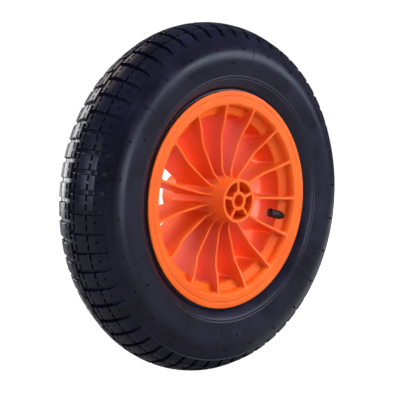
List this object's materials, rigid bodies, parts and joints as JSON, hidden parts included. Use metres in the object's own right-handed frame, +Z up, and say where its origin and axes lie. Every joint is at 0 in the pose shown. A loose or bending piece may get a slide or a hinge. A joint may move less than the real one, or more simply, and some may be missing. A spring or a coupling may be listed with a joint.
{
  "type": "pneumatic wheelbarrow wheel",
  "caption": "Pneumatic wheelbarrow wheel: block-tread tyre and tube on a one-piece moulded rim with thin radial fin spokes, a plain-bored hub and a capped valve.",
  "frame": {"origin": "the wheel's centre: on the axle's axis, half way between the rim's flanges", "axes": "+Y along the axle towards the rear, so the valve side faces -Y; +Z up; +X to the right seen from the valve side"},
  "size_m": [0.3726, 0.0946, 0.3726],
  "materials": {
    "rim_plastic": "orange injection-moulded polypropylene, satin",
    "tyre_rubber": "black moulded rubber, slight bluish sheen",
    "bead_wire": "bronze-coated steel wire",
    "tube_rubber": "smooth butyl rubber, talc dusted",
    "stem_rubber": "smooth black rubber",
    "valve_brass": "turned brass",
    "seal_rubber": "soft sealing rubber",
    "spring_steel": "drawn stainless wire",
    "cap_plastic": "black moulded plastic, ribbed"
  },
  "bodies": {
    "wheel": {"rim": "rim_plastic", "tyre": "tyre_rubber", "bead_wire_front": "bead_wire", "bead_wire_rear": "bead_wire", "inner_tube": "tube_rubber", "valve_stem": "stem_rubber", "valve_insert": "valve_brass", "valve_core_body": "valve_brass", "valve_core_gasket": "seal_rubber", "valve_spring": "spring_steel"},
    "valve_pin": {"valve_pin": "valve_brass", "plunger_seal": "seal_rubber"},
    "cap_seal": {"cap_seal": "seal_rubber"},
    "valve_cap": {"valve_cap": "cap_plastic"}
  },
  "joints": [
    {"name": "pin_press", "type": "slide", "parent": "wheel", "child": "valve_pin", "axis": [0.9632, 0, -0.2689], "range_m": [0, 0.0015], "stiffness_N_per_m": 800, "springref_m": -0.002, "deforming": ["valve_spring"]},
    {"name": "cap_lift", "type": "slide", "parent": "wheel", "child": "cap_seal", "axis": [-0.9632, 0, 0.2689], "range_m": [0, 0.00556]},
    {"name": "cap_turn", "type": "hinge", "parent": "cap_seal", "child": "valve_cap", "pos_m": [0.07705, -0.0203, -0.02151], "axis": [-0.9632, 0, 0.2689], "range_deg": [0, 2520]}
  ],
  "couplings": [
    {"joint": "cap_turn", "follows": "cap_lift", "rad_per_m": 7913.3}
  ]
}
